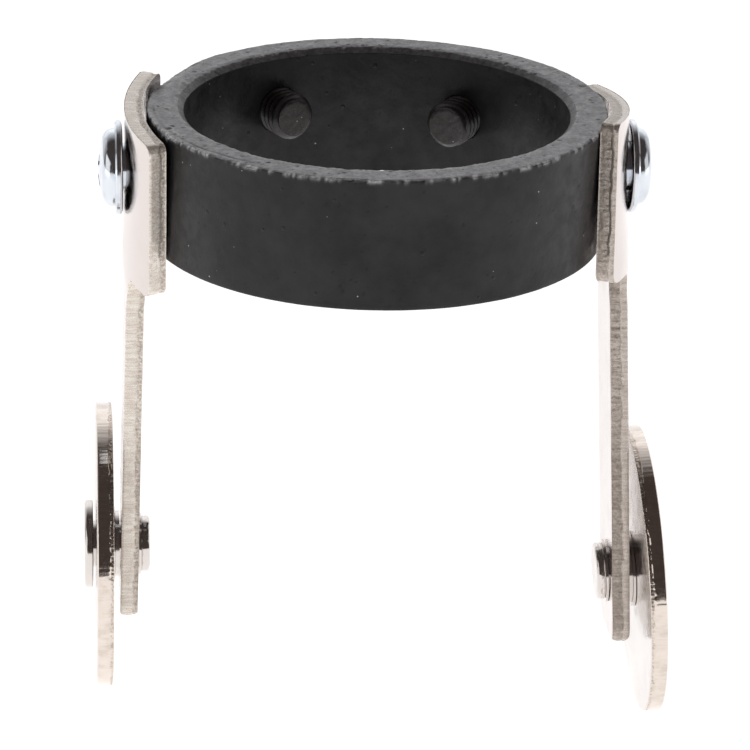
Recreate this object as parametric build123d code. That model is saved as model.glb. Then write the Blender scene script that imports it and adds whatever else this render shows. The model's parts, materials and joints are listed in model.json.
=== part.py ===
from build123d import *

import os
from math import asin, cos, degrees, radians, sin

# Clamp-on roller guide for a hand-held cutting torch.
#
# A black collar slips over the torch nozzle and is held there by two set screws.
# A stamped steel bracket hangs from each side of the collar on one screw, and a
# plain steel disc turns on a rivet at the lower end of each bracket. The discs
# roll on the work and keep the nozzle at a constant height above it.
#
# Frame: millimetres, origin on the collar's axis at mid height, +Z up along the
# bore, +X towards the right-hand bracket, +Y towards the two set screws.

# Collar
COLLAR_RADIUS = 19.0
BORE_RADIUS = 15.9
COLLAR_HEIGHT = 10.9
COLLAR_BORE_CHAMFER = 0.55
COLLAR_EDGE_ROUND = 0.2

# Clearances between separate pieces, on the radius or along an axis
THREAD_CLEARANCE = 0.05
PIVOT_CLEARANCE = 0.08
WHEEL_CLEARANCE = 0.06
FACE_GAP = 0.02

# How far joined solids run into each other, and how far a cut runs past a face
OVERLAP = 0.1
CUT_PAST = 3.0

# Side screws, M4 with a flanged pan head, drilled in degrees forward of the diameter
SIDE_SCREW_FORWARD = 0.8
SIDE_SCREW_HEIGHT = 0.15
SIDE_SCREW_RADIUS = 2.0
SIDE_SCREW_TIP = 16.1
SIDE_SCREW_SEAT = 20.96
FLANGE_RADIUS = 3.9
FLANGE_THICKNESS = 0.65
FLANGE_EDGE = 0.2
PAN_RADIUS = 3.25
PAN_HEIGHT = 1.38
PAN_CROWN_RADIUS = 8.4
PAN_CORNER = 0.5
RECESS_LENGTH = 3.3
RECESS_WIDTH = 0.8
RECESS_DEPTH = 1.3

# Set screws, M4 x 8 with a flat point, through the rear wall of the collar
SET_SCREW_RADIUS = 2.0
SET_SCREW_LENGTH = 8.0
SET_SCREW_TIP_RADIUS = 13.2
SET_SCREW_CHAMFER = 0.4
SOCKET_ACROSS_FLATS = 2.0
SOCKET_DEPTH = 2.5

# Bracket: a curved wing that hugs the collar and a narrower flat arm below it
SHEET = 1.5
WING_INNER_RADIUS = 19.0
WING_INNER_APEX = 19.3
WING_HALF_WIDTH = 8.5
WING_TOP = 5.3
WING_DROP = 8.1
WING_TOP_CORNER = 0.7
WING_BOTTOM_CORNER = 0.95
FORMING_LENGTH = 3.3
ARM_SET_IN = 0.05
ARM_HALF_WIDTH = 4.15
ARM_ROOT_FILLET = 0.75
ARM_END_CORNER = 1.9
ARM_END_BELOW_AXLE = 5.7
AXLE_DROP = 35.7

# Wheel and the stack on its rivet
WHEEL_RADIUS = 12.35
WHEEL_THICKNESS = 1.4
WHEEL_EDGE = 0.12
RIVET_RADIUS = 2.0
RIVET_HEAD_RADIUS = 3.85
RIVET_HEAD_THICKNESS = 0.75
RIVET_HEAD_ROUND = 0.3
SET_HEAD_RADIUS = 2.5
SET_HEAD_THICKNESS = 0.8
SET_HEAD_ROUND = 0.12
SPACER_RADIUS = 2.9
SPACER_THICKNESS = 0.35
WHEEL_WASHER_RADIUS = 3.25
WHEEL_WASHER_THICKNESS = 0.2
SET_WASHER_RADIUS = 2.7
SET_WASHER_THICKNESS = 0.2
LEAN_ALLOWANCE = 0.1
WHEEL_INNER_PLAY = 0.05
WHEEL_OUTER_PLAY = 0.25

# Each side as it rests: how far the bracket is swung about its screw (positive
# carries the wheel to the rear), how far the arm splays outward below the wing,
# and how far the rivet leans from square in its hole, all in degrees.
# Each set screw: its bearing from the rear, towards -X, and its height.
SIDES = {
    "left": {"swing": 4.65, "splay": 1.15, "lean": -0.65},
    "right": {"swing": -6.0, "splay": 2.5, "lean": 1.35},
}
SET_SCREWS = {
    "left": {"bearing": 27.5, "height": 0.4},
    "right": {"bearing": -31.5, "height": -0.2},
}


def rod(radius, start, end, axis=Axis.Z):
    """A cylinder from start to end along +Z, or laid along +X."""
    body = Pos(0, 0, start) * Cylinder(
        radius, end - start, align=(Align.CENTER, Align.CENTER, Align.MIN)
    )
    return Rot(0, 90, 0) * body if axis == Axis.X else body


def ring(outer, inner, start, end):
    """A flat ring about the X axis."""
    hole = rod(inner, start - CUT_PAST, end + CUT_PAST, Axis.X)
    return rod(outer, start, end, Axis.X) - hole


def rounded_disc(radius, start, end, edge):
    """A disc about the X axis with both rims rounded."""
    disc = rod(radius, start, end, Axis.X)
    return fillet(disc.edges(), edge)


def screw_frame(name):
    """Where a set screw's axis is: +X points out of the collar along it."""
    place = SET_SCREWS[name]
    return Pos(0, 0, place["height"]) * Rot(0, 0, 90 + place["bearing"])


def to_side(name, body):
    """Turn a right-hand piece to its screw's bearing, and mirror it for the left."""
    body = Pos(0, 0, SIDE_SCREW_HEIGHT) * Rot(0, 0, -SIDE_SCREW_FORWARD) * body
    return mirror(body, about=Plane.YZ) if name == "left" else body


def swung(name, body):
    """Swing a piece of the bracket about the side screw."""
    return to_side(name, Rot(SIDES[name]["swing"], 0, 0) * body)


def arm_frame(name):
    """The arm's inner face at the foot of the wing, -Z running down the arm."""
    face = WING_INNER_APEX - ARM_SET_IN
    return Pos(face, 0, -WING_DROP) * Rot(0, -SIDES[name]["splay"], 0)


def axle_frame(name):
    """The rivet's axis as +X, starting at the arm's inner face."""
    splay = SIDES[name]["splay"]
    down = (AXLE_DROP - WING_DROP) / cos(radians(splay))
    return arm_frame(name) * Pos(0, 0, -down) * Rot(0, -SIDES[name]["lean"], 0)


def make_collar():
    """The collar, with its two pivot holes and its two set screw holes."""
    half = COLLAR_HEIGHT / 2
    collar = rod(COLLAR_RADIUS, -half, half) - rod(BORE_RADIUS, -half - CUT_PAST, half + CUT_PAST)
    rims = collar.edges().filter_by(GeomType.CIRCLE).group_by(SortBy.RADIUS)
    collar = chamfer(rims[0].sort_by(Axis.Z)[-1], COLLAR_BORE_CHAMFER)
    rims = collar.edges().filter_by(GeomType.CIRCLE).group_by(SortBy.RADIUS)
    collar = fillet(rims[-1], COLLAR_EDGE_ROUND)
    wall = (BORE_RADIUS - CUT_PAST, COLLAR_RADIUS + CUT_PAST)
    for name in SIDES:
        hole = rod(SIDE_SCREW_RADIUS + THREAD_CLEARANCE, *wall, Axis.X)
        collar -= to_side(name, hole)
    for name in SET_SCREWS:
        hole = rod(SET_SCREW_RADIUS + THREAD_CLEARANCE, *wall, Axis.X)
        collar -= screw_frame(name) * hole
    return collar


def make_side_screw(name):
    """A pan head on a thin flange, with a cross recess and a short shank."""
    seat = SIDE_SCREW_SEAT
    flange_top = seat + FLANGE_THICKNESS
    top = flange_top + PAN_HEIGHT
    shank = rod(SIDE_SCREW_RADIUS, SIDE_SCREW_TIP, seat + OVERLAP, Axis.X)
    flange = rounded_disc(FLANGE_RADIUS, seat, flange_top, FLANGE_EDGE)
    pan = rod(PAN_RADIUS, flange_top - OVERLAP, top, Axis.X)
    pan &= Pos(top - PAN_CROWN_RADIUS, 0, 0) * Sphere(PAN_CROWN_RADIUS)
    rims = pan.edges().filter_by(lambda edge: edge.length > 6 * PAN_RADIUS)
    pan = fillet(rims.sort_by(Axis.X)[-1], PAN_CORNER)
    screw = shank + flange + pan
    for turn in (0, 90):
        slot = Box(RECESS_DEPTH * 2, RECESS_LENGTH, RECESS_WIDTH)
        screw -= Pos(top, 0, 0) * Rot(turn + 45, 0, 0) * slot
    return to_side(name, screw)


def make_set_screw(name):
    """A headless screw with a flat point and a hexagon socket in its outer end."""
    tip = SET_SCREW_TIP_RADIUS
    end = tip + SET_SCREW_LENGTH
    screw = rod(SET_SCREW_RADIUS, tip, end, Axis.X)
    screw = chamfer(screw.edges().filter_by(GeomType.CIRCLE), SET_SCREW_CHAMFER)
    corner = SOCKET_ACROSS_FLATS / 2 / cos(radians(30))
    hexagon = Plane.YZ.offset(end - SOCKET_DEPTH) * RegularPolygon(corner, 6)
    screw -= extrude(hexagon, SOCKET_DEPTH + CUT_PAST)
    return screw_frame(name) * screw


def arc_strip(half_angle, height):
    """The wing's curved cross-section, level, at the given height."""
    inner, outer = WING_INNER_RADIUS, WING_INNER_RADIUS + SHEET
    middle = WING_INNER_APEX - WING_INNER_RADIUS

    def point(radius, angle):
        return (middle + radius * cos(radians(angle)), radius * sin(radians(angle)))

    def arc(radius):
        return ThreePointArc(*[point(radius, a) for a in (-half_angle, 0, half_angle)])

    ends = [Line(point(inner, a), point(outer, a)) for a in (-half_angle, half_angle)]
    return Plane.XY.offset(height) * make_face(Curve() + [arc(inner), arc(outer), *ends])


def corner_edges(body, height, half_width):
    """The edges through the sheet at the corners (height, +-half_width)."""

    def is_corner(edge):
        spot = edge.center()
        near = max(abs(spot.Z - height), abs(abs(spot.Y) - half_width)) < SHEET / 2
        return near and abs(edge.length - SHEET) < SHEET / 10

    return body.edges().filter_by(is_corner)


def neck_outline():
    """The neck seen from the side: the arm's width, flared into the wing's foot."""
    flare = ARM_HALF_WIDTH + ARM_ROOT_FILLET
    top, end = -WING_DROP, -WING_DROP - FORMING_LENGTH - OVERLAP
    lines = [Line((-flare, top), (flare, top)), Line((-ARM_HALF_WIDTH, end), (ARM_HALF_WIDTH, end))]
    for side in (-1, 1):
        foot = (side * ARM_HALF_WIDTH, top - ARM_ROOT_FILLET)
        lines.append(TangentArc(foot, (side * flare, top), tangent=(0, 1)))
        lines.append(Line(foot, (side * ARM_HALF_WIDTH, end)))
    return Plane.YZ * make_face(Curve() + lines)


def make_bracket(name):
    """The wing, a short neck where its curve is flattened out, and the arm."""
    wing_angle = degrees(asin(WING_HALF_WIDTH / (WING_INNER_RADIUS + SHEET)))
    wing = extrude(arc_strip(wing_angle, -WING_DROP), WING_DROP + WING_TOP)
    arm_end = AXLE_DROP - WING_DROP + ARM_END_BELOW_AXLE
    flat = Plane(arm_frame(name) * Pos(SHEET / 2, 0, -FORMING_LENGTH))
    neck = loft([arc_strip(wing_angle, -WING_DROP), flat * Rectangle(SHEET, 2 * WING_HALF_WIDTH)])
    neck &= extrude(neck_outline(), COLLAR_RADIUS * 2)
    arm = extrude(flat * Rectangle(SHEET, 2 * ARM_HALF_WIDTH), -(arm_end - FORMING_LENGTH))
    bracket = wing + neck + arm
    corners = (
        (WING_TOP, WING_HALF_WIDTH, WING_TOP_CORNER),
        (-WING_DROP, WING_HALF_WIDTH, WING_BOTTOM_CORNER),
        (-WING_DROP - arm_end, ARM_HALF_WIDTH, ARM_END_CORNER),
    )
    for height, half_width, radius in corners:
        bracket = fillet(corner_edges(bracket, height, half_width), radius)
    pivot_hole = SIDE_SCREW_RADIUS + PIVOT_CLEARANCE
    bracket -= rod(pivot_hole, BORE_RADIUS, COLLAR_RADIUS + 2 * CUT_PAST, Axis.X)
    axle_hole = rod(RIVET_RADIUS + THREAD_CLEARANCE, -CUT_PAST, SHEET + CUT_PAST, Axis.X)
    bracket -= axle_frame(name) * axle_hole
    return swung(name, bracket)


def axle_stack():
    """Where each piece on the rivet starts and ends, from the arm's inner face."""
    spacer = SHEET + LEAN_ALLOWANCE
    washer = spacer + SPACER_THICKNESS + FACE_GAP
    wheel = washer + WHEEL_WASHER_THICKNESS + WHEEL_INNER_PLAY
    head = wheel + WHEEL_THICKNESS + WHEEL_OUTER_PLAY
    set_washer = -LEAN_ALLOWANCE - SET_WASHER_THICKNESS
    set_head = set_washer - FACE_GAP - SET_HEAD_THICKNESS
    return {
        "spacer": (spacer, spacer + SPACER_THICKNESS),
        "wheel_washer": (washer, washer + WHEEL_WASHER_THICKNESS),
        "wheel": (wheel, wheel + WHEEL_THICKNESS),
        "head": (head, head + RIVET_HEAD_THICKNESS),
        "set_washer": (set_washer, set_washer + SET_WASHER_THICKNESS),
        "set_head": (set_head, set_head + SET_HEAD_THICKNESS),
    }


def make_rivet():
    """A rivet with a broad low head outside and a small peened head inside."""
    stack = axle_stack()
    shank = rod(RIVET_RADIUS, stack["set_head"][1] - OVERLAP, stack["head"][0] + OVERLAP, Axis.X)
    head = rod(RIVET_HEAD_RADIUS, *stack["head"], Axis.X)
    head = fillet(head.edges().group_by(Axis.X)[-1], RIVET_HEAD_ROUND)
    peened = rod(SET_HEAD_RADIUS, *stack["set_head"], Axis.X)
    peened = fillet(peened.edges().group_by(Axis.X)[0], SET_HEAD_ROUND)
    return shank + head + peened


def make_wheel():
    """A plain disc with a bore that runs on the rivet."""
    start, end = axle_stack()["wheel"]
    disc = rounded_disc(WHEEL_RADIUS, start, end, WHEEL_EDGE)
    return disc - rod(RIVET_RADIUS + WHEEL_CLEARANCE, start - CUT_PAST, end + CUT_PAST, Axis.X)


def make_axle_pieces():
    """The pieces on the rivet's axis, by name, about +X."""
    stack = axle_stack()
    bore = RIVET_RADIUS + THREAD_CLEARANCE
    return {
        "wheel": make_wheel(),
        "rivet": make_rivet(),
        "spacer": ring(SPACER_RADIUS, bore, *stack["spacer"]),
        "wheel_washer": ring(WHEEL_WASHER_RADIUS, bore, *stack["wheel_washer"]),
        "set_washer": ring(SET_WASHER_RADIUS, bore, *stack["set_washer"]),
    }


def build():
    """Every piece of the guide, by the name of its file."""
    pieces = {"clamp_ring": make_collar()}
    for name in SIDES:
        pieces[f"{name}_side_screw"] = make_side_screw(name)
        pieces[f"{name}_set_screw"] = make_set_screw(name)
        pieces[f"{name}_bracket"] = make_bracket(name)
        for piece, body in make_axle_pieces().items():
            pieces[f"{name}_{piece}"] = swung(name, axle_frame(name) * body)
    return pieces


os.makedirs("parts", exist_ok=True)
for label, body in build().items():
    export_step(body, f"parts/{label}.step")
    print(f"{label}: {body.volume:.1f} mm3")
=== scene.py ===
import json
from math import asin, atan2, cos, degrees, hypot, pi, radians, sin, sqrt

import bpy
import numpy as np
from mathutils import Matrix, Vector


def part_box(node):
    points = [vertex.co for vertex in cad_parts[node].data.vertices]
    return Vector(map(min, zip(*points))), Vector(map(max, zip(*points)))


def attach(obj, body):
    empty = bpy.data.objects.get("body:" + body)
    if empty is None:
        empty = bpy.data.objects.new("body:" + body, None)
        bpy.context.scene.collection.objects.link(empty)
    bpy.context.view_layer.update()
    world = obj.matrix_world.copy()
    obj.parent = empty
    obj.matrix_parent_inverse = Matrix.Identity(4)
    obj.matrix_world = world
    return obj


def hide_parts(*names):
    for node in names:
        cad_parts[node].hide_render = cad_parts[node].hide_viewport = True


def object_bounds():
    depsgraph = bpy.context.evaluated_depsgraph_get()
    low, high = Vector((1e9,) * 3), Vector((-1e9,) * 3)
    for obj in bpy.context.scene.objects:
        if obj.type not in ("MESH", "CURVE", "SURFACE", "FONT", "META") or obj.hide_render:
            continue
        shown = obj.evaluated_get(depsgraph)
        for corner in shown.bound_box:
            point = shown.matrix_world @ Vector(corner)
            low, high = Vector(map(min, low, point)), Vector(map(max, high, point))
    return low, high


# The looks of the torch roller guide. Meshes are made in millimetres in the frame of the
# screw or rivet they sit on, and placed by that screw's or rivet's axis in the record.

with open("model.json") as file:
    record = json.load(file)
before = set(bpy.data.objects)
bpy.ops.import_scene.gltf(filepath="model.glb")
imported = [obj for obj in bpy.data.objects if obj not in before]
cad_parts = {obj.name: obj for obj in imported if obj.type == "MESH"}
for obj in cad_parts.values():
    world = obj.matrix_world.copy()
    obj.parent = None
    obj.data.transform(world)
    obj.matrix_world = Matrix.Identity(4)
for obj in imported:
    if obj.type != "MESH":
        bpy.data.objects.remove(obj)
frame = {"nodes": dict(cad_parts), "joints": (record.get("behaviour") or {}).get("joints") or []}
cad_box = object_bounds()
JOINTS = {joint["name"]: joint for joint in frame["joints"]}
MM = 0.001
SIDES = ("left", "right")
SHARP_ANGLE = radians(38)

# Sizes of the pieces, in millimetres, as in the CAD source
COLLAR_RADIUS, BORE_RADIUS, COLLAR_HALF = 19.0, 15.9, 5.45
BORE_CHAMFER, RIM_ROUND = 0.55, 0.2
SCREW_RADIUS, THREAD_CLEARANCE = 2.0, 0.05
THREAD_PITCH, THREAD_DEPTH = 0.7, 0.4
SEAT, SCREW_TIP = 20.96, 16.1
FLANGE_RADIUS, FLANGE_THICKNESS = 3.9, 0.65
PAN_RADIUS, PAN_HEIGHT, PAN_CROWN, PAN_DOME = 3.25, 1.38, 8.4, 2.2
RECESS_HALF_LENGTH, RECESS_HALF_WIDTH, RECESS_DEPTH = 1.65, 0.4, 1.3
SET_TIP, SET_LENGTH, SET_CHAMFER = 13.2, 8.0, 0.4
SOCKET_RADIUS, SOCKET_DEPTH = 1.0, 2.5
SHEET, WING_INNER, WING_APEX = 1.5, 19.0, 19.3
WING_HALF, WING_TOP, WING_DROP = 8.5, 5.3, 8.1
WING_TOP_CORNER, WING_BOTTOM_CORNER, FORMING = 0.7, 0.95, 3.3
WING_FLARE = {"left": 0.25, "right": 0.45}
ARM_SET_IN, ARM_HALF, ARM_FILLET, ARM_CORNER = 0.05, 4.15, 0.75, 1.9
ARM_LENGTH, AXLE_DROP, PIVOT_HOLE, AXLE_HOLE = 33.3, 35.7, 2.08, 2.05
WHEEL_RADIUS, WHEEL_BORE = 12.35, 2.06
WHEEL_SPAN = (2.22, 3.62)
HEAD_RADIUS, HEAD_SPAN, HEAD_ROUND = 3.85, (3.87, 4.62), 0.3
PEEN_RADIUS, PEEN_SPAN = 2.5, (-1.12, -0.32)

# ---------------------------------------------------------------- noise


def lattice(cells, seed):
    """A repeatable random number from -1 to 1 for each whole-numbered (N, 3) cell."""
    mask = 0xFFFFFFFF
    mixed = cells[:, 0] * 374761393 + cells[:, 1] * 668265263 + cells[:, 2] * 362437 + seed * 9746347
    mixed &= mask
    mixed = ((mixed ^ (mixed >> 13)) * 1274126177) & mask
    mixed = ((mixed ^ (mixed >> 15)) * 461845907) & mask
    return (mixed ^ (mixed >> 16)) / 2.0**31 - 1


def noise(points, cell, seed, octaves=1):
    """Smooth noise from about -1 to 1 at (N, 3) points, with cells of the given size."""
    total, weight = np.zeros(len(points)), 0.0
    for octave in range(octaves):
        share = 0.5**octave
        spot = points / (np.asarray(cell, float) * share)
        base = np.floor(spot).astype(np.int64)
        part = spot - base
        part = part * part * (3 - 2 * part)
        for corner in np.ndindex(2, 2, 2):
            near = np.prod(np.where(corner, part, 1 - part), axis=1)
            total += share * near * lattice(base + np.array(corner), seed + 31 * octave)
        weight += share
    return total / weight


def line_noise(along, cell, seed, octaves=1):
    """The same along one line."""
    points = np.zeros((np.size(along), 3))
    points[:, 0] = np.ravel(along)
    return noise(points, cell, seed, octaves).reshape(np.shape(along))


def ramp(value, low, high):
    """0 below low, 1 above high, and smooth between."""
    share = np.clip((np.asarray(value, float) - low) / (high - low), 0, 1)
    return share * share * (3 - 2 * share)


# ---------------------------------------------------------------- meshes


def add_piece(name, points, faces, place, materials, body, stands_for, face_material=None, values=None):
    """A mesh from local millimetres, smooth but for its sharp corners, riding on its body."""
    points = np.asarray(points, float)
    world = (points @ place[:3, :3].T + place[:3, 3]) * MM
    if np.linalg.det(place[:3, :3]) < 0:
        faces = [face[::-1] for face in faces]
    mesh = bpy.data.meshes.new(name)
    mesh.from_pydata(world.tolist(), [], [list(map(int, face)) for face in faces])
    for material in materials:
        mesh.materials.append(material)
    if face_material is not None:
        mesh.polygons.foreach_set("material_index", np.asarray(face_material, np.int32))
    for label, value in (values or {}).items():
        mesh.attributes.new(label, "FLOAT", "POINT").data.foreach_set("value", value.astype(np.float32))
    mesh.polygons.foreach_set("use_smooth", np.ones(len(faces), bool))
    mesh.update()
    mesh.set_sharp_from_angle(angle=SHARP_ANGLE)
    piece = bpy.data.objects.new(name, mesh)
    bpy.context.scene.collection.objects.link(piece)
    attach(piece, body)
    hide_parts(stands_for)
    return piece


def densify(corners, steps):
    """Points along a line of corners, each run cut into pieces no longer than its step."""
    steps = steps if hasattr(steps, "__len__") else [steps] * (len(corners) - 1)
    points = []
    for start, end, step in zip(corners, corners[1:], steps):
        count = max(1, round(hypot(end[0] - start[0], end[1] - start[1]) / step))
        points += [tuple(np.array(start) + (np.array(end) - start) * i / count) for i in range(count)]
    return np.array(points + [corners[-1]])


def quads(rows, columns, close_rows=False):
    """Faces of a grid that is closed round its columns."""
    faces = []
    for i in range(rows if close_rows else rows - 1):
        a, b = i * columns, (i + 1) % rows * columns
        for j in range(columns):
            k = (j + 1) % columns
            faces.append((a + j, a + k, b + k, b + j))
    return faces


def revolve(profile, columns, closed=False, radius_at=None):
    """A turned shape about X from (x, radius) points, given from its low end to its high
    end. radius_at may change the radius at each x and angle. Ends are closed by fans."""
    angles = np.arange(columns) * 2 * pi / columns
    x = np.repeat(profile[:, 0], columns)
    radius = np.repeat(profile[:, 1], columns)
    angle = np.tile(angles, len(profile))
    if radius_at is not None:
        radius = radius_at(x, radius, angle)
    points = np.column_stack([x, radius * np.cos(angle), radius * np.sin(angle)])
    faces = quads(len(profile), columns, closed)
    if not closed:
        low, high = len(points), len(points) + 1
        last = (len(profile) - 1) * columns
        ends = [[x[0], 0, 0], [x[-1], 0, 0]]
        points = np.vstack([points, ends])
        for j in range(columns):
            k = (j + 1) % columns
            faces += [(low, k, j), (high, last + j, last + k)]
    return points, faces


# ---------------------------------------------------------------- places


def place_on(origin, x_axis, up, left):
    """A matrix with +X along an axis, +Z near up and +Y to the rear, mirrored on the left."""
    x = np.array(x_axis, float)
    x /= np.linalg.norm(x)
    z = np.array(up, float) - np.dot(up, x) * x
    z /= np.linalg.norm(z)
    y = np.cross(z, x) * (-1 if left else 1)
    matrix = np.eye(4)
    matrix[:3, 0], matrix[:3, 1], matrix[:3, 2], matrix[:3, 3] = x, y, z, origin
    return matrix


def places(side):
    """The frames of a side's screw, bracket and rivet, in millimetres."""
    left = side == "left"
    swing, spin = JOINTS[f"{side}_bracket_swing"], JOINTS[f"{side}_wheel_spin"]
    outward = np.array(swing["axis"]) * (-1 if left else 1)
    pivot, wheel = np.array(swing["pos_m"]) / MM, np.array(spin["pos_m"]) / MM
    centre = pivot - outward * WING_APEX
    up = pivot - wheel
    axle = np.array(spin["axis"]) * (-1 if left else 1)
    return (
        place_on(centre, outward, (0, 0, 1), left),
        place_on(centre, outward, up, left),
        place_on(wheel, axle, up, left),
    )


def splay_of(side):
    """How far the arm leans outward below the wing, from the rivet's place on it."""
    _, bracket, _ = places(side)
    wheel = np.array(JOINTS[f"{side}_wheel_spin"]["pos_m"]) / MM
    local = np.linalg.inv(bracket) @ np.append(wheel, 1)
    return atan2(local[0] - (WING_APEX - ARM_SET_IN), -local[2] - WING_DROP)


# ---------------------------------------------------------------- materials


class Shader:
    """A material's nodes, added one by one and linked by giving a socket as an input."""

    def __init__(self, name):
        self.material = bpy.data.materials.new(name)
        self.material.use_nodes = True
        self.tree = self.material.node_tree
        self.surface = self.tree.nodes["Principled BSDF"]
        self.coordinates = self.node("ShaderNodeTexCoord").outputs["Object"]

    def node(self, kind, inputs=(), **settings):
        made = self.tree.nodes.new(kind)
        for key, value in settings.items():
            setattr(made, key, value)
        for key, value in dict(inputs).items():
            self.set(made, key, value)
        return made

    def set(self, node, key, value):
        if isinstance(value, bpy.types.NodeSocket):
            self.tree.links.new(value, node.inputs[key])
        else:
            node.inputs[key].default_value = value

    def noise(self, size_mm, detail=3.0, rough=0.55, stretch=None, kind="Fac"):
        """Noise with features of about size_mm. stretch scales it along X, Y and Z."""
        vector = self.coordinates
        if stretch:
            vector = self.node("ShaderNodeMapping", {"Vector": vector, "Scale": stretch}).outputs[0]
        inputs = {"Vector": vector, "Scale": 1 / (size_mm * MM), "Detail": detail, "Roughness": rough}
        return self.node("ShaderNodeTexNoise", inputs).outputs[kind]

    def spots(self, size_mm, keep, radius):
        """1 in small round spots, one in the share keep of cells of size_mm, else 0."""
        scale = 1 / (size_mm * MM)
        cell = self.node("ShaderNodeTexVoronoi", {"Vector": self.coordinates, "Scale": scale})
        near = self.range(cell.outputs["Distance"], radius, radius * 0.6)
        chosen = self.node("ShaderNodeSeparateColor", {"Color": cell.outputs["Color"]}).outputs[0]
        return self.math("MULTIPLY", near, self.range(chosen, 1 - keep, 1 - keep * 0.9))

    def range(self, value, low, high, to_low=0.0, to_high=1.0):
        inputs = {"Value": value, "From Min": low, "From Max": high, "To Min": to_low, "To Max": to_high}
        return self.node("ShaderNodeMapRange", inputs, interpolation_type="SMOOTHSTEP").outputs[0]

    def math(self, operation, a, b):
        return self.node("ShaderNodeMath", {0: a, 1: b}, operation=operation).outputs[0]

    def mix(self, share, a, b):
        """A colour between a and b."""
        made = self.node("ShaderNodeMix", data_type="RGBA")
        for socket, value in ((0, share), (6, a), (7, b)):
            if isinstance(value, tuple):
                value = (*value, 1.0)
            self.set(made, socket, value)
        return made.outputs[2]

    def value(self, label):
        """A number stored at each of the mesh's points."""
        return self.node("ShaderNodeAttribute", attribute_name=label).outputs["Fac"]

    def bump(self, height, distance_mm, strength=1.0, under=None):
        inputs = {"Height": height, "Distance": distance_mm * MM, "Strength": strength}
        if under:
            inputs["Normal"] = under
        return self.node("ShaderNodeBump", inputs).outputs[0]

    def finish(self, **inputs):
        names = {
            "colour": "Base Color", "roughness": "Roughness", "metallic": "Metallic", "normal": "Normal",
            "specular": "Specular IOR Level", "glow_colour": "Emission Color", "glow": "Emission Strength",
        }
        for key, value in inputs.items():
            self.set(self.surface, names[key], value)
        return self.material


def collar_material():
    """Moulded black, satin, cloudy at large and grainy up close, rougher where it is worn; the top face and
    rims are painted paler as sheen and highlights, the chipped rims carry painted glints and the pits painted
    shade.
    """
    s = Shader("collar_black")
    cloud, grain = s.noise(6.0, 4.0), s.noise(0.35, 4.0, 0.6)
    wear_and_sheen, pit = s.value("wear_and_sheen"), s.value("pit")
    dark = s.mix(s.range(cloud, 0.35, 0.68), (0.0110, 0.0102, 0.0112), (0.0235, 0.0222, 0.0240))
    pale_sheen_and_wear = s.mix(s.range(grain, 0.35, 0.65), (0.300, 0.300, 0.316), (0.520, 0.521, 0.547))
    # painted sheen and highlights: the top face and both top rims are painted pale where light glances off
    # them; the same mask also makes them rougher, for real wear
    colour = s.mix(wear_and_sheen, dark, pale_sheen_and_wear)
    # painted shade: the pits are painted near black
    colour = s.mix(s.math("MULTIPLY", pit, 0.9), colour, (0.006, 0.006, 0.007))
    # painted glints: near-white marks along the chipped rims and the bruise stand for light catching their
    # facets
    chipped = s.math("MULTIPLY", s.value("glinting_chip"), s.range(grain, 0.35, 0.6, 0.35, 1.0))
    colour = s.mix(chipped, colour, (0.88, 0.89, 0.91))
    # painted shade: crisp dark spots stand for small pits in shade, shown most on the pale top face
    hole = s.math("MAXIMUM", s.spots(1.2, 0.50, 0.22), s.spots(0.7, 0.30, 0.20))
    shown = s.math("MULTIPLY", hole, s.range(wear_and_sheen, 0.2, 0.8, 0.25, 0.92))
    colour = s.mix(shown, colour, (0.010, 0.010, 0.011))
    dust = s.math("MAXIMUM", s.spots(1.7, 0.45, 0.052), s.spots(0.9, 0.08, 0.075))
    colour = s.mix(s.math("MULTIPLY", dust, 0.8), colour, (0.55, 0.54, 0.53))
    roughness = s.range(s.noise(1.1, 3.0), 0.3, 0.7, 0.34, 0.50)
    roughness = s.math("ADD", roughness, s.math("MULTIPLY", wear_and_sheen, 0.08))
    normal = s.bump(grain, 0.012)
    normal = s.bump(s.noise(1.6, 3.0), 0.05, 1.0, normal)
    normal = s.bump(s.spots(1.4, 0.4, 0.14), 0.04, 1.0, normal)
    specular = s.range(wear_and_sheen, 0.1, 0.8, 0.30, 0.55)
    return s.finish(colour=colour, roughness=roughness, specular=specular, normal=normal)


def nickel_material(name, tint=(0.71, 0.645, 0.615)):
    """Bright nickel plate on sheet: a mirror, faintly rippled, with light handling marks."""
    s = Shader(name)
    haze = s.range(s.noise(3.5, 4.0), 0.4, 0.75)
    speck = s.spots(0.8, 0.12, 0.06)
    colour = s.mix(s.math("MULTIPLY", haze, 0.35), tint, tuple(c * 0.9 for c in tint))
    colour = s.mix(s.math("MULTIPLY", speck, 0.5), colour, (0.40, 0.35, 0.30))
    roughness = s.range(s.noise(0.9, 5.0), 0.35, 0.7, 0.10, 0.19)
    roughness = s.math("ADD", roughness, s.math("MULTIPLY", haze, 0.05))
    scratches = s.noise(0.5, 2.0, 0.5, (0.9, 0.12, 1.3))
    normal = s.bump(s.noise(2.4, 2.0), 0.012)
    normal = s.bump(scratches, 0.0012, 1.0, normal)
    normal = s.bump(speck, 0.01, -1.0, normal)
    return s.finish(colour=colour, roughness=roughness, metallic=1.0, normal=normal)


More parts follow.
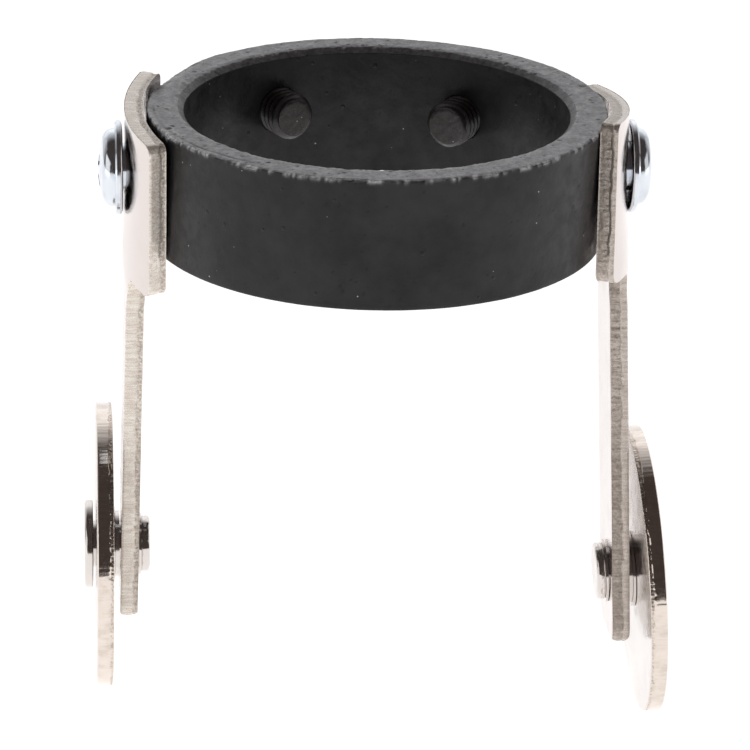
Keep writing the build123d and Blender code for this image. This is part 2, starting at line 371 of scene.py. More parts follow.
def sheared_material(name, gloss, relief=1.0, metallic=1.0, painted_lighting=1.0, even=0.0):
    """The same plate over a sheared edge: streaked along the cut, coarse where it broke, with painted shade
    in the hollows of the break. Its tones can be scaled up into a lit, paler copy or down into a shaded,
    darker copy: painted light.
    """
    s = Shader(name)
    broken = s.value("broken")
    streaks = s.noise(0.16, 3.0, 0.6, (0.10, 1.0, 1.0))
    coarse = s.noise(0.22, 4.0, 0.65)
    patches = s.noise(1.3, 3.0)
    # painted light: the tones are scaled up for a lit copy of the edge or down for a shaded one
    tones = [tuple(min(0.97, painted_lighting * part) for part in tone)
             for tone in ((0.62, 0.54, 0.475), (0.82, 0.735, 0.665), (0.50, 0.425, 0.36))]
    colour = s.mix(s.range(streaks, 0.36, 0.64, even, 1.0), tones[0], tones[1])
    colour = s.mix(s.math("MULTIPLY", s.range(patches, 0.45, 0.7), 0.35), colour, tones[2])
    # painted shade in the hollows of the broken part
    hollow_shade = s.math("MULTIPLY", broken, s.range(coarse, 0.40, 0.56, 0.6, 0.0))
    colour = s.mix(hollow_shade, colour, (0.30, 0.25, 0.205))
    roughness = s.range(coarse, 0.3, 0.7, gloss, gloss + 0.09)
    roughness = s.math("ADD", roughness, s.math("MULTIPLY", broken, 0.14))
    normal = s.bump(streaks, 0.016 * relief, s.range(broken, 0.0, 1.0, 0.45, 1.0))
    normal = s.bump(coarse, 0.045 * relief, s.range(broken, 0.0, 1.0, 0.06, 1.0), normal)
    return s.finish(colour=colour, roughness=roughness, metallic=metallic, normal=normal)


def zinc_material():
    """Clear zinc plate over a forged screw head, faintly blue, with a cloudy bloom."""
    s = Shader("zinc_screw")
    bloom = s.range(s.noise(1.2, 4.0), 0.4, 0.7)
    colour = s.mix(bloom, (0.74, 0.78, 0.83), (0.62, 0.66, 0.72))
    roughness = s.range(s.noise(0.5, 4.0), 0.35, 0.7, 0.10, 0.22)
    normal = s.bump(s.noise(0.7, 3.0), 0.006)
    normal = s.bump(s.spots(0.6, 0.2, 0.12), 0.012, -1.0, normal)
    return s.finish(colour=colour, roughness=roughness, metallic=1.0, normal=normal)


def oxide_material():
    """Black oxide on a cut thread: oily dark brown-grey, with pale spots that are painted glints off bare
    metal and lint specks.
    """
    s = Shader("black_oxide")
    grain = s.noise(0.25, 4.0)
    colour = s.mix(s.range(grain, 0.4, 0.7), (0.016, 0.014, 0.014), (0.034, 0.029, 0.028))
    # pale spots: painted glints off bare metal, and lint specks
    colour = s.mix(s.math("MULTIPLY", s.spots(0.42, 0.10, 0.15), 0.85), colour, (0.70, 0.67, 0.63))
    roughness = s.range(s.noise(0.4, 3.0), 0.3, 0.7, 0.26, 0.40)
    normal = s.bump(grain, 0.006)
    return s.finish(colour=colour, roughness=roughness, normal=normal)


# ---------------------------------------------------------------- collar

COLLAR_COLUMNS = 580
PIT_COUNT, PIT_DEPTH = 420, 0.07
RUBBED_BEARING, BRUISED_BEARING, TRIMMED_BEARING = 157, -157, -152
HOLE_CUT, HOLE_COLUMNS = (13.2, 21.5), 72


def scattered(count, seed):
    """count rows of three repeatable numbers from 0 to 1."""
    cells = np.zeros((count * 3, 3), np.int64)
    cells[:, 0] = np.arange(count * 3)
    return (lattice(cells, seed).reshape(count, 3) + 1) / 2


def collar_profile():
    """The collar's cross-section as a closed loop of (radius, height), from the foot of its
    outer wall, up, over the top and down the bore."""
    top, out, bore = COLLAR_HALF, COLLAR_RADIUS, BORE_RADIUS
    rim = [(out - RIM_ROUND * (1 - cos(a)), top - RIM_ROUND * (1 - sin(a)))
           for a in np.radians([0, 30, 60, 90])]
    upper = rim + [(bore + BORE_CHAMFER, top), (bore, top - BORE_CHAMFER)]
    lower = [(bore, -top)] + [(radius, -height) for radius, height in rim[::-1]]
    corners = upper + lower + [upper[0]]
    edge = (0.07, 0.07, 0.07)
    steps = (*edge, 0.13, 0.10, 0.20, 0.22, *edge, 0.14)
    return densify(corners, steps)[:-1]


def make_collar():
    """The ring, worn, pitted and with ragged moulding flash, then bored for its screws."""
    profile = collar_profile()
    rows, columns = len(profile), COLLAR_COLUMNS
    run = np.roll(profile, -1, 0) - np.roll(profile, 1, 0)
    slope = np.column_stack([run[:, 1], -run[:, 0]]) / np.linalg.norm(run, axis=1)[:, None]
    angle = np.tile(np.arange(columns) * 2 * pi / columns, rows)
    radius, height = (np.repeat(profile[:, i], columns) for i in (0, 1))
    n_out, n_up = (np.repeat(slope[:, i], columns) for i in (0, 1))
    points = np.column_stack([radius * np.cos(angle), radius * np.sin(angle), height])
    normal = np.column_stack([n_out * np.cos(angle), n_out * np.sin(angle), n_up])
    around = angle * COLLAR_RADIUS
    on_top = ramp(n_up, 0.55, 0.95)
    # casting unevenness, always into the material
    depth = 0.035 * (1 + noise(points, 5.0, 11, 2)) / 2 + 0.014 * (1 + noise(points, 1.1, 12, 3)) / 2
    # pits
    pit = np.zeros(len(points))
    for u, v, w in scattered(PIT_COUNT, 21):
        spot = int(u * len(points))
        centre = points[spot]
        size = (0.10 + 0.20 * w**4 + 0.06 * v) * (1 if on_top[spot] > 0.5 else 0.72)
        near = np.linalg.norm(points - centre, axis=1) / size
        inside = np.clip(1 - near * near, 0, 1)
        pit = np.maximum(pit, inside)
    depth += PIT_DEPTH * pit**1.5 * (0.35 + 0.65 * on_top)
    # the outer top rim: chips and ragged flash, most of them at the front
    rim = np.exp(-((radius - COLLAR_RADIUS) ** 2 + (height - COLLAR_HALF) ** 2) / 0.16**2)
    ragged = line_noise(around, 0.42, 31, 3)
    chipped = ramp(line_noise(around, 1.3, 32, 2), 0.12, 0.55)
    front = 0.55 + 0.45 * ramp(-np.sin(angle), -0.2, 0.4)
    points[:, 2] += rim * front * (0.075 * ragged - 0.13 * chipped)
    inward = rim * front * (0.02 + 0.05 * line_noise(around, 0.3, 33, 2) ** 2 + 0.09 * chipped)
    # the bore's upper rim, less ragged
    inner = np.exp(-((radius - BORE_RADIUS - BORE_CHAMFER) ** 2 + (height - COLLAR_HALF) ** 2) / 0.2**2)
    points[:, 2] -= inner * 0.07 * (1 + line_noise(around, 0.55, 34, 3))
    # moulding flash hangs from the bore's lower rim at the rear
    rear = ramp(np.sin(angle), 0.86, 0.97)
    hanging = rear * ramp(-height, 4.95, COLLAR_HALF) * ramp(radius, 17.4, 16.4)
    torn_edge = 0.36 + 0.10 * line_noise(around, 1.1, 35, 3)
    points[:, 2] -= hanging * torn_edge
    # the rear left shoulder is rubbed down; bearings are in degrees from +X
    bearing = (degrees(1) * angle + 180) % 360 - 180
    rubbed = np.exp(-(((bearing - RUBBED_BEARING) / 13) ** 2))
    rubbed = rubbed * ramp(radius, 17.6, 19.0) * ramp(height, 3.2, 5.4)
    points[:, 2] -= rubbed * (0.36 + 0.16 * line_noise(around, 0.8, 40, 2))
    depth += 0.12 * rubbed
    # trimmed flash line across the top face at the front left
    trim = np.abs(radius - 18.25 + 0.25 * np.sin(3 * angle + 0.6))
    line = np.exp(-((trim / 0.09) ** 2)) * on_top * ramp(np.abs(bearing - TRIMMED_BEARING), 34, 22)
    depth += 0.07 * line
    points -= normal * depth[:, None]
    points[:, 0] -= inward * np.cos(angle)
    points[:, 1] -= inward * np.sin(angle)
    speckle = noise(points, 0.5, 41, 2)
    # what the shader needs to know at each point
    # painted sheen and highlights: marks the top face, the ragged outer rim and the bore's rim to be painted
    # pale, and rougher for wear
    wear_and_sheen = on_top * np.clip(0.86 + 0.25 * speckle - 0.5 * line, 0, 1)
    wear_and_sheen = np.maximum(wear_and_sheen, rim * np.clip(0.35 + 0.9 * ragged, 0, 1))
    wear_and_sheen = np.maximum(wear_and_sheen, 0.55 * inner * np.clip(0.4 + speckle, 0, 1))
    # painted glints: near-white marks on the chips of the front outer rim, the bore's rim and the bruise
    wide = np.exp(-((radius - COLLAR_RADIUS) ** 2 + (height - COLLAR_HALF) ** 2) / 0.24**2)
    clusters = line_noise(around, 0.5, 36, 3) + 0.25 * line_noise(around, 6.0, 37)
    glinting_chip = wide * front * ramp(clusters, 0.02, 0.22)
    glinting_chip = np.maximum(glinting_chip, inner * ramp(noise(points, 0.33, 38, 2), 0.30, 0.5))
    bruise = np.exp(-(((bearing - BRUISED_BEARING) / 5) ** 2))
    bruise = bruise * ramp(radius, 17.2, 18.6) * ramp(height, 4.6, 5.3)
    glinting_chip = np.maximum(glinting_chip, bruise * ramp(noise(points, 0.30, 39, 2), 0.08, 0.35))
    faces = quads(rows, columns, True)
    values = {"wear_and_sheen": wear_and_sheen, "pit": np.clip(pit * 1.4, 0, 1) ** 2, "glinting_chip": glinting_chip}
    piece = add_piece("collar", points, faces, np.eye(4), [collar_material()], "collar",
                      "clamp_ring", values=values)
    bore_holes(piece)
    return piece


def bore_holes(piece):
    """Cuts the two screw holes in the collar's sides and the two in its rear wall."""
    points, faces = [], []
    hole_radius = SCREW_RADIUS + THREAD_CLEARANCE
    hole, hole_faces = revolve(densify([(x, hole_radius) for x in HOLE_CUT], 8), HOLE_COLUMNS)
    for place in [places(side)[0] for side in SIDES] + [set_screw_place(side) for side in SIDES]:
        start = sum(map(len, points))
        points.append((hole @ place[:3, :3].T + place[:3, 3]) * MM)
        flip = -1 if np.linalg.det(place[:3, :3]) < 0 else 1
        faces += [tuple(start + i for i in face)[::flip] for face in hole_faces]
    cutter_mesh = bpy.data.meshes.new("cutter")
    cutter_mesh.from_pydata(np.vstack(points).tolist(), [], faces)
    cutter = bpy.data.objects.new("cutter", cutter_mesh)
    bpy.context.scene.collection.objects.link(cutter)
    cut = piece.modifiers.new("holes", "BOOLEAN")
    cut.operation, cut.solver, cut.object = "DIFFERENCE", "EXACT", cutter
    depsgraph = bpy.context.evaluated_depsgraph_get()
    mesh = bpy.data.meshes.new_from_object(piece.evaluated_get(depsgraph), depsgraph=depsgraph)
    piece.modifiers.clear()
    piece.data = mesh
    mesh.set_sharp_from_angle(angle=SHARP_ANGLE)
    bpy.data.objects.remove(cutter)


# ---------------------------------------------------------------- screws

HEADLESS_COLUMNS, HEADED_COLUMNS = 96, 160


def thread_radius(x, radius, angle):
    """The radius of a V thread at x and angle, never above the given outline."""
    phase = (x / THREAD_PITCH - angle / (2 * pi)) % 1
    slope = np.abs(2 * phase - 1)
    depth = THREAD_DEPTH * ramp(slope, 0.12, 0.88)
    return np.minimum(radius, SCREW_RADIUS - depth)


def set_screw_place(side):
    """The frame of a set screw: +X out of the collar along it, from the collar's axis."""
    low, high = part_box(f"{side}_set_screw")
    axis = JOINTS[f"{side}_set_screw_advance"]["axis"]
    return place_on((0, 0, (low.z + high.z) / 2 / MM), axis, (0, 0, 1), False)


def hexagon(angle, radius):
    """The radius of a hexagon of that inner radius at an angle."""
    return radius / np.cos((angle + pi / 6) % (pi / 3) - pi / 6)


def make_set_screw(side, material):
    """A headless screw: flat chamfered point, V thread and hexagon socket."""
    tip, end = SET_TIP, SET_TIP + SET_LENGTH - 0.01
    flat = SCREW_RADIUS - SET_CHAMFER
    outline = [(tip, 0.3), (tip, flat), (tip + SET_CHAMFER, SCREW_RADIUS),
               (end - SET_CHAMFER, SCREW_RADIUS), (end, flat)]
    body = densify(outline, (0.3, 0.06, 0.055, 0.06))
    foot = end - SOCKET_DEPTH
    socket = densify([(end, SOCKET_RADIUS + 0.28), (end - 0.12, SOCKET_RADIUS), (foot, SOCKET_RADIUS),
                      (foot - 0.4, 0.2)], (0.1, 0.6, 0.5))
    split = len(body)
    columns = HEADLESS_COLUMNS

    def radius_at(x, radius, angle):
        row = np.arange(len(x)) // columns
        turned = thread_radius(x, radius, angle)
        share = ramp(x, end - SOCKET_DEPTH - 0.35, end - SOCKET_DEPTH)
        hex_radius = radius * (1 + (hexagon(angle, 1.0) - 1) * share)
        return np.where(row < split, turned, hex_radius)

    points, faces = revolve(np.vstack([body, socket]), columns, radius_at=radius_at)
    rough = noise(points, 0.4, 51, 2)
    points[:, 0] -= 0.02 * (points[:, 0] < tip + 0.01) * (-1 - rough)
    return add_piece(f"{side}_set_screw_body", points, faces, set_screw_place(side), [material],
                     f"{side}_set_screw", f"{side}_set_screw")


def cross_radius(angle, half_length, half_width):
    """The radius of an upright cross's outline at an angle."""
    quarter = (angle + pi / 4) % (pi / 2) - pi / 4
    end = half_length / np.cos(quarter)
    side = half_width / np.maximum(np.abs(np.sin(quarter)), 1e-6)
    return np.minimum(end, side)


def make_side_screw(side, material):
    """A crowned pan head on a thin flange, a cross recess and a threaded shank."""
    flange_top = SEAT + FLANGE_THICKNESS
    top = flange_top + PAN_HEIGHT
    crown = top - PAN_CROWN
    dome_x = crown + sqrt(PAN_CROWN**2 - PAN_DOME**2)
    pan = [(flange_top + (dome_x - flange_top) * cos(a) ** 0.85, PAN_DOME + (PAN_RADIUS - PAN_DOME) * sin(a))
           for a in np.radians([90, 80, 70, 60, 50, 40, 30, 20, 10])]
    dome = [(crown + sqrt(PAN_CROWN**2 - r * r), r) for r in np.linspace(PAN_DOME, 1.75, 5)]
    outline = [(SCREW_TIP, 0.4), (SCREW_TIP, SCREW_RADIUS - 0.35), (SCREW_TIP + 0.35, SCREW_RADIUS),
               (SEAT - 0.02, SCREW_RADIUS), (SEAT, FLANGE_RADIUS - 0.3), (SEAT + 0.08, FLANGE_RADIUS - 0.08),
               (SEAT + 0.2, FLANGE_RADIUS), (flange_top - 0.16, FLANGE_RADIUS - 0.01),
               (flange_top - 0.03, FLANGE_RADIUS - 0.12), (flange_top, FLANGE_RADIUS - 0.3)] + pan + dome
    body = densify(outline, 0.09)
    deep = top - RECESS_DEPTH
    recess = np.array([(top - 0.1, 1.0), (top - 0.2, 0.99), (top - 0.75, 0.9),
                       (deep, 0.72), (deep - 0.15, 0.25)])
    split, columns = len(body), HEADED_COLUMNS

    def radius_at(x, radius, angle):
        row = np.arange(len(x)) // columns
        turned = np.where(x < SEAT - 0.3, thread_radius(x, radius, angle), radius)
        cross = radius * cross_radius(angle + pi / 4, RECESS_HALF_LENGTH, RECESS_HALF_WIDTH)
        return np.where(row < split, turned, cross)

    points, faces = revolve(np.vstack([body, recess]), columns, radius_at=radius_at)
    lip = slice(split * columns, (split + 1) * columns)
    reach = np.hypot(points[lip, 1], points[lip, 2])
    points[lip, 0] = crown + np.sqrt(PAN_CROWN**2 - reach**2)
    points[:, 0] -= 0.012 * (1 + noise(points, 0.9, 61, 2)) * (points[:, 0] > flange_top)
    return add_piece(f"{side}_side_screw_body", points, faces, places(side)[0], [material],
                     "collar", f"{side}_side_screw")


# ---------------------------------------------------------------- brackets


def wing_half(height):
    """Half the wing's width, round its corners."""
    drop, rise = WING_TOP - height, height + WING_DROP
    for reach, corner in ((drop, WING_TOP_CORNER), (rise, WING_BOTTOM_CORNER)):
        if reach < corner:
            return WING_HALF - corner + sqrt(max(0.0, corner**2 - (corner - reach) ** 2))
    return WING_HALF


def arm_half(height):
    """Half the arm's width, flared at its root and rounded at its end."""
    below, rise = -WING_DROP - height, height + WING_DROP + ARM_LENGTH
    if below < ARM_FILLET:
        return ARM_HALF + ARM_FILLET - sqrt(max(0.0, ARM_FILLET**2 - (ARM_FILLET - below) ** 2))
    if rise < ARM_CORNER:
        return ARM_HALF - ARM_CORNER + sqrt(max(0.0, ARM_CORNER**2 - (ARM_CORNER - rise) ** 2))
    return ARM_HALF


def arc_steps(start, end, count):
    """Heights that step evenly round a corner's quarter arc, from its flat to its side."""
    share = 1 - np.cos(np.linspace(0, pi / 2, count))
    return start + (end - start) * share


def bracket_grid(holes):
    """The flat bracket as (across, height) points and faces, from its top edge down."""
    top_rows = arc_steps(WING_TOP, WING_TOP - WING_TOP_CORNER, 9)
    foot_rows = arc_steps(-WING_DROP, -WING_DROP + WING_BOTTOM_CORNER, 10)[::-1]
    middle = np.linspace(top_rows[-1], foot_rows[0], 100)[1:-1]
    wing_rows = np.concatenate([top_rows, middle, foot_rows])
    root_rows = arc_steps(-WING_DROP, -WING_DROP - ARM_FILLET, 9)[1:]
    arm_end = -WING_DROP - ARM_LENGTH
    end_rows = arc_steps(arm_end, arm_end + ARM_CORNER, 18)[::-1]
    run = np.linspace(root_rows[-1], end_rows[0], 226)[1:-1]
    arm_rows = np.concatenate([root_rows, run, end_rows])
    inner_half = ARM_HALF + ARM_FILLET
    inner, ear = np.linspace(-1, 1, 65), np.linspace(0, 1, 16)
    points, rows = [], []
    for height in wing_rows:
        outer = inner_half + (wing_half(height) - inner_half) * ear[1:]
        across = np.concatenate([-outer[::-1], inner_half * inner, outer])
        rows.append(np.arange(len(across)) + len(points))
        points += [(a, height) for a in across]
    faces = []

    def stitch(upper, lower):
        for j in range(len(upper) - 1):
            faces.append((lower[j], lower[j + 1], upper[j + 1], upper[j]))

    for upper, lower in zip(rows, rows[1:]):
        stitch(upper, lower)
    above = rows[-1][len(ear) - 1 : len(ear) - 1 + len(inner)]
    for height in arm_rows:
        row = np.arange(len(inner)) + len(points)
        points += [(a, height) for a in arm_half(height) * inner]
        stitch(above, row)
        above = row
    points, faces = np.array(points), np.array(faces)
    for height, radius in holes:
        away = points - (0, height)
        reach = np.linalg.norm(away, axis=1)
        keep = reach[faces].min(axis=1) >= 0.92 * radius
        rim = np.intersect1d(faces[~keep], faces[keep])
        faces = faces[keep]
        moved = np.where(reach < 1.6 * radius, radius + (reach - 0.92 * radius) * 0.6 / 0.68, reach)
        moved[rim] = radius
        points = np.array((0, height)) + away * (moved / np.maximum(reach, 1e-9))[:, None]
    used = np.unique(faces)
    renumber = np.zeros(len(points), int)
    renumber[used] = np.arange(len(used))
    return points[used], renumber[faces]


def outlines(faces):
    """The loops of edges that only one face uses, in the faces' own direction."""
    follow = {}
    edges = {(int(f[i]), int(f[(i + 1) % 4])) for f in faces for i in range(4)}
    for a, b in edges:
        if (b, a) not in edges:
            follow[a] = b
    loops = []
    while follow:
        start = min(follow)
        loop, spot = [], start
        while spot in follow:
            loop.append(spot)
            spot = follow.pop(spot)
        loops.append(loop)
    return loops


def sheared(along, depth, seed, smooth_share, roll=0.07):
    """How far a sheared edge stands back, and how broken it is, along the cut and through
    the sheet (0 where the punch went in, 1 where it came out)."""
    spot = np.zeros((len(along), 3))
    spot[:, 0], spot[:, 1] = along, depth * SHEET
    start = smooth_share + 0.10 * line_noise(along, 0.9, seed, 3)
    broken = ramp(depth - start, -0.02, 0.03)
    rolled = roll * np.clip(1 - depth / 0.09, 0, 1) ** 2
    streak = noise(spot, (0.20, 2.5, 1), seed + 1, 2)
    coarse = noise(spot, (0.30, 0.24, 1), seed + 2, 2)
    groove = 0.06 * np.exp(-(((depth - start) / 0.05) ** 2))
    teeth = np.sin(2 * pi * along / 0.34 + 3 * line_noise(along, 1.2, seed + 5))
    groove += 0.022 * (1 + teeth) * np.exp(-(((depth - start - 0.13) / 0.10) ** 2))
    torn = broken * (0.018 + 0.024 * (1 + coarse) + 0.012 * (1 + streak))
    back = rolled + groove + 0.014 * (1 + streak) + torn
    burr = ramp(depth, 0.93, 1.0)
    return back * (1 - burr) + burr * 0.02 * (1 + line_noise(along, 0.35, seed + 3, 2)), broken * (1 - burr)


def bend_bracket(across, depth, height, splay, flare):
    """Bends the flat sheet: a curve at the wing, which bows out by flare towards its foot,
    a flat splayed arm, and a neck between."""
    half_angle = asin(WING_HALF / (WING_INNER + SHEET))
    angle = across / WING_HALF * half_angle
    radius = WING_INNER + depth
    curved = np.column_stack([WING_APEX - WING_INNER + radius * np.cos(angle),
                              radius * np.sin(angle), height])
    curved[:, 0] += flare * ramp(-height, 0.5, WING_DROP) * (1 - (across / WING_HALF) ** 2)
    arm_end = WING_DROP + ARM_LENGTH
    height = height + 0.30 * np.abs(2 * depth / SHEET - 1) ** 3 * ramp(-height, arm_end - 1.4, arm_end)
    down = height + WING_DROP
    flat = np.column_stack([WING_APEX - ARM_SET_IN + depth * cos(splay) - down * sin(splay), across,
                            -WING_DROP + down * cos(splay) + depth * sin(splay)])
    share = ramp(-down, 0.0, FORMING)[:, None]
    return curved * (1 - share) + flat * share


def make_bracket(side, materials):
    """The stamped sheet: two bright faces and the sheared edge between them."""
    splay = splay_of(side)
    axle_height = -WING_DROP - (AXLE_DROP - WING_DROP) / cos(splay)
    grid, faces = bracket_grid(((0.0, PIVOT_HOLE), (axle_height, AXLE_HOLE)))
    count = len(grid)
    sheet_points = [np.column_stack([grid[:, 0], np.full(count, depth), grid[:, 1]])
                    for depth in (0.0, SHEET)]
    points = np.vstack(sheet_points)
    solid = [tuple(f[::-1]) for f in faces] + [tuple(f + count) for f in faces]
    material = [0] * len(solid)
    broken = np.zeros(len(points))
    levels = np.concatenate([[0.0, 0.02, 0.05], np.linspace(0.09, 0.93, 13), [0.97, 1.0]])
    for number, loop in enumerate(sorted(outlines(faces), key=len, reverse=True)):
        flat = grid[loop]
        run = np.roll(flat, -1, 0) - np.roll(flat, 1, 0)
        out = np.column_stack([run[:, 1], -run[:, 0]]) / np.linalg.norm(run, axis=1)[:, None]
        along = np.concatenate([[0], np.cumsum(np.linalg.norm(np.diff(flat, axis=0), axis=1))])
        seed = 70 + 10 * number + (200 if side == "left" else 0)
        smooth = 0.70 if side == "left" else 0.38
        ring_before = None
        for level in levels:
            back, torn = sheared(along, np.full(len(loop), 1 - level), seed, smooth)
            spot = flat - out * back[:, None]
            ring_points = np.column_stack([spot[:, 0], np.full(len(loop), level * SHEET), spot[:, 1]])
            if level in (0.0, 1.0):
                ring = np.array(loop) + (count if level else 0)
                points[ring] = ring_points
                broken[ring] = torn
            else:
                ring = np.arange(len(loop)) + len(points)
                points = np.vstack([points, ring_points])
                broken = np.concatenate([broken, torn])
            if ring_before is not None:
                for j in range(len(loop)):
                    k = (j + 1) % len(loop)
                    solid.append((ring_before[j], ring_before[k], ring[k], ring[j]))
                    material.append(1)
            ring_before = ring
    bent = bend_bracket(points[:, 0], points[:, 1], points[:, 2], splay, WING_FLARE[side])
    bent[:, 0] += 0.012 * noise(bent, 4.0, 77, 2)
    return add_piece(f"{side}_bracket_sheet", bent, solid, places(side)[1], materials, f"{side}_bracket",
                     f"{side}_bracket", material, {"broken": broken})


# ---------------------------------------------------------------- wheels and rivets

WHEEL_COLUMNS, RIVET_COLUMNS = 760, 144


def make_wheel(side, materials):
    """A blanked disc: bright faces, rolled corners and a sheared, streaked rim."""
    low, high = WHEEL_SPAN
    thickness = high - low
    rings = [WHEEL_BORE, 2.3, 3.2, 4.6, 6.2, 7.8, 9.2, 10.4, 11.2, 11.7, 11.9, 12.05]
    levels = np.concatenate([[0.0, 0.03, 0.07], np.linspace(0.12, 0.88, 13), [0.93, 0.97, 1.0]])
    rim = [(low + thickness * level, WHEEL_RADIUS) for level in levels]
    profile = np.array([(low, r) for r in rings] + rim + [(high, r) for r in rings[::-1]])
    seed = 300 if side == "left" else 340
    rim_rows = range(len(rings), len(rings) + len(rim))
    points, faces = revolve(profile, WHEEL_COLUMNS, closed=True)
    rows = len(profile)
    shaped = points.reshape(rows, WHEEL_COLUMNS, 3)
    broken = np.zeros((rows, WHEEL_COLUMNS))
    along = np.arange(WHEEL_COLUMNS) * 2 * pi / WHEEL_COLUMNS * WHEEL_RADIUS
    for row, level in zip(rim_rows, levels):
        back, torn = sheared(along, np.full(WHEEL_COLUMNS, 1 - level), seed, 0.80, 0.20)
        back = back * 0.8 + 0.10 * max(0.0, 1 - level / 0.08) ** 2
        shaped[row, :, 1:] *= (1 - back / WHEEL_RADIUS)[:, None]
        broken[row] = torn
    flat = shaped.reshape(-1, 3)
    radius = np.hypot(flat[:, 1], flat[:, 2])
    waves = 0.012 * noise(flat, 5.0, seed + 9, 2) * ramp(radius, 3.0, 6.0) * ramp(radius, WHEEL_RADIUS, 11.0)
    flat[:, 0] += waves
    on_rim = [int(row in rim_rows and row + 1 in rim_rows) for row in range(rows)]
    material = np.repeat(on_rim, WHEEL_COLUMNS)
    return add_piece(f"{side}_wheel_disc", flat, faces, places(side)[2], materials, f"{side}_wheel",
                     f"{side}_wheel", material, {"broken": broken.ravel()})


def make_rivet(side, material):
    """A rivet: a broad low head outside, and the end peened over inside."""
    peen_low, peen_high = PEEN_SPAN
    head_low, head_high = HEAD_SPAN
    outline = [(peen_low + 0.10, 0.3), (peen_low + 0.04, 1.2), (peen_low, 1.9),
               (peen_low + 0.03, PEEN_RADIUS - 0.18), (peen_low + 0.14, PEEN_RADIUS - 0.04),
               (peen_low + 0.32, PEEN_RADIUS), (peen_high - 0.10, PEEN_RADIUS - 0.02),
               (peen_high, PEEN_RADIUS - 0.10), (peen_high + 0.02, SCREW_RADIUS),
               (head_low - 0.02, SCREW_RADIUS), (head_low, HEAD_RADIUS - 0.1), (head_low + 0.09, HEAD_RADIUS)]
    curve = [(head_high - HEAD_ROUND * (1 - sin(a)), HEAD_RADIUS - HEAD_ROUND * (1 - cos(a)))
             for a in np.radians([0, 22, 45, 67, 90])]
    outline += curve + [(head_high - 0.01, 2.4), (head_high - 0.05, 0.4)]
    seed = 401 if side == "left" else 431
    points, faces = revolve(densify(outline, 0.10), RIVET_COLUMNS)
    radius = np.hypot(points[:, 1], points[:, 2])
    peened = ramp(-points[:, 0], -peen_high, -peen_high + 0.15)
    hammered = noise(points, 0.9, seed, 3)
    shrink = peened * 0.05 * (1 + noise(points, 0.55, seed + 1, 3)) + 0.006 * (1 + hammered)
    points[:, 1:] *= (1 - shrink * ramp(radius, 1.0, 2.0) / np.maximum(radius, 0.5))[:, None]
    points[:, 0] += peened * 0.07 * (1 + hammered) * ramp(-points[:, 0], -peen_low - 0.5, -peen_low)
    points[:, 0] -= 0.012 * (1 + hammered) * (points[:, 0] > head_high - 0.2)
    return add_piece(f"{side}_rivet_body", points, faces, places(side)[2], [material], f"{side}_bracket",
                     f"{side}_rivet")


# ---------------------------------------------------------------- the pieces

nickel_face = nickel_material("nickel_sheet")
nickel_disc = nickel_material("nickel_disc", (0.66, 0.615, 0.59))
nickel_rivet = nickel_material("nickel_rivet", (0.72, 0.675, 0.645))
# painted light: the left edge is a lit, paler copy and the right edge a shaded, darker copy of one material
cut_edges = {"left": sheared_material("left_edge", 0.24, metallic=0.35, painted_lighting=1.25),
             "right": sheared_material("right_edge", 0.20, metallic=0.55, painted_lighting=0.80)}
wheel_rim = sheared_material("wheel_rim", 0.07, 0.5, even=0.6)
zinc, oxide = zinc_material(), oxide_material()

make_collar()
for side in SIDES:
    make_set_screw(side, oxide)
    make_side_screw(side, zinc)
    make_bracket(side, [nickel_face, cut_edges[side]])
    make_wheel(side, [nickel_disc, wheel_rim])
    make_rivet(side, nickel_rivet)
    for washer in ("spacer", "wheel_washer", "set_washer"):
        node = frame["nodes"][f"{side}_{washer}"]
        node.data.materials.clear()
        node.data.materials.append(nickel_rivet)

# ---------------------------------------------------------------- stage, light, camera

FLOOR_GAP, FLOOR_REACH = 0.00002, 3.0
floor_mesh = bpy.data.meshes.new("floor")
floor_z = cad_box[0].z - FLOOR_GAP
floor_corners = [(x * FLOOR_REACH, y * FLOOR_REACH, floor_z) for x, y in ((-1, -1), (1, -1), (1, 1), (-1, 1))]
floor_mesh.from_pydata(floor_corners, [], [(0, 1, 2, 3)])
floor = bpy.data.objects.new("floor", floor_mesh)
bpy.context.scene.collection.objects.link(floor)
paper = Shader("paper")
paper_tone = paper.mix(paper.noise(40.0), (0.90, 0.895, 0.89), (0.92, 0.915, 0.91))
# a lit table: its paper glows a little, so that no shadow greys it
glow = paper.range(paper.noise(60.0), 0.3, 0.7, 0.83, 0.87)
floor_mesh.materials.append(paper.finish(colour=paper_tone, roughness=0.9, specular=0.1,
                                         glow_colour=(1.0, 1.0, 1.0, 1.0), glow=glow))


def area_light(name, spot, target, size, power):
    """A soft square light at a spot, turned to face a target, in metres."""
    lamp = bpy.data.lights.new(name, "AREA")
    lamp.shape, lamp.size, lamp.size_y = "RECTANGLE", size[0], size[1]
    lamp.energy = power
    made = bpy.data.objects.new(name, lamp)
    made.location = spot
    made.rotation_mode = "QUATERNION"
    made.rotation_quaternion = (Vector(target) - Vector(spot)).to_track_quat("-Z", "Y")
    bpy.context.scene.collection.objects.link(made)


area_light("back", (0.0, 0.42, 0.20), (0.0, 0.0, -0.02), (0.70, 0.24), 0.10)
area_light("left_soft", (-0.40, 0.16, 0.16), (0.0, 0.03, -0.03), (0.25, 0.30), 0.06)
area_light("right_soft", (0.40, 0.16, 0.16), (0.0, 0.03, -0.03), (0.25, 0.30), 0.06)
area_light("left_front", (-0.34, -0.17, 0.06), (-0.01, 0.0, -0.02), (0.34, 0.30), 0.30)
area_light("right_front", (0.36, -0.14, 0.06), (0.01, 0.0, -0.02), (0.30, 0.30), 0.20)

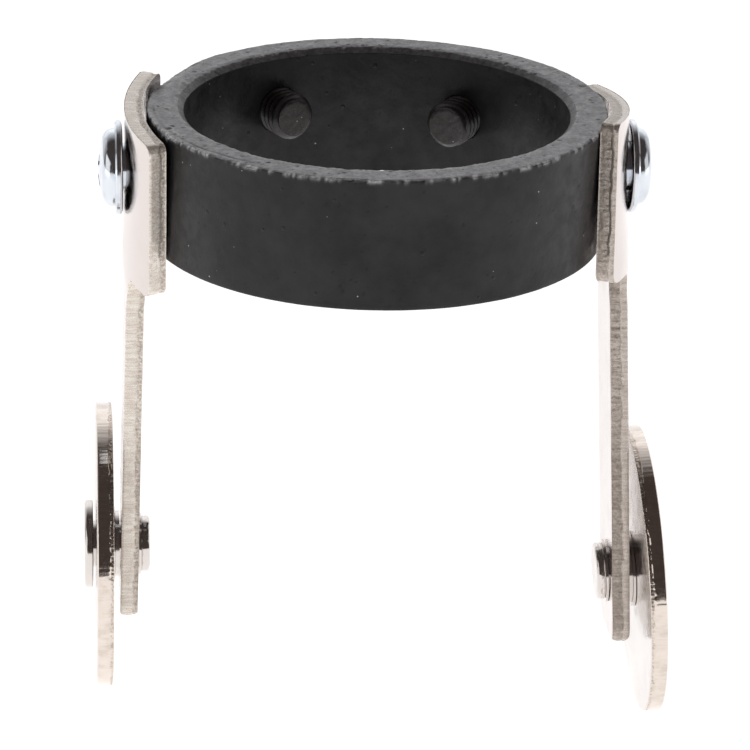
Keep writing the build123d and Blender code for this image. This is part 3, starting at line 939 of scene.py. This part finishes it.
# The sky is pale behind the guide and dark in front, which the wheels' rims reflect.
SKY_FRONT, SKY_BACK = (0.058, 0.046, 0.043, 1), (1.04, 1.045, 1.06, 1)
world = bpy.data.worlds.new("studio")
bpy.context.scene.world = world
world.use_nodes = True
sky = world.node_tree
direction = sky.nodes.new("ShaderNodeTexCoord").outputs["Generated"]
split = sky.nodes.new("ShaderNodeSeparateXYZ")
sky.links.new(direction, split.inputs[0])
back = sky.nodes.new("ShaderNodeMapRange")
back.interpolation_type = "SMOOTHSTEP"
for key, value in {"From Min": 0.18, "From Max": 1.00, "To Min": 0.0, "To Max": 1.0}.items():
    back.inputs[key].default_value = value
sky.links.new(split.outputs["Y"], back.inputs["Value"])
tint = sky.nodes.new("ShaderNodeMix")
tint.data_type = "RGBA"
tint.inputs[6].default_value, tint.inputs[7].default_value = SKY_FRONT, SKY_BACK
sky.links.new(back.outputs[0], tint.inputs[0])
sky.links.new(tint.outputs[2], sky.nodes["Background"].inputs["Color"])
sky.nodes["Background"].inputs["Strength"].default_value = 1.0

# The camera stands in front of the guide and a little to its left, looking down on it.
CAMERA_DISTANCE, CAMERA_TURN, CAMERA_HEIGHT = 0.26867, 4.65, 0.09219
CAMERA_HEADING, CAMERA_PITCH, CAMERA_ROLL = 4.7234, 22.4199, 1.37
LENS, SENSOR = 164.16, 36.0
camera_data = bpy.data.cameras.new("camera")
camera_data.lens, camera_data.sensor_width = LENS, SENSOR
camera_data.clip_start, camera_data.clip_end = 0.01, 10.0
camera = bpy.data.objects.new("camera", camera_data)
bpy.context.scene.collection.objects.link(camera)
turn = radians(CAMERA_TURN)
camera.location = (-CAMERA_DISTANCE * sin(turn), -CAMERA_DISTANCE * cos(turn), CAMERA_HEIGHT)
camera.rotation_mode = "QUATERNION"
camera.rotation_quaternion = (
    Matrix.Rotation(-radians(CAMERA_HEADING), 3, "Z")
    @ Matrix.Rotation(radians(90 - CAMERA_PITCH), 3, "X")
    @ Matrix.Rotation(radians(CAMERA_ROLL), 3, "Z")
).to_quaternion()
bpy.context.scene.camera = camera
bpy.context.scene.view_settings.view_transform = "Standard"
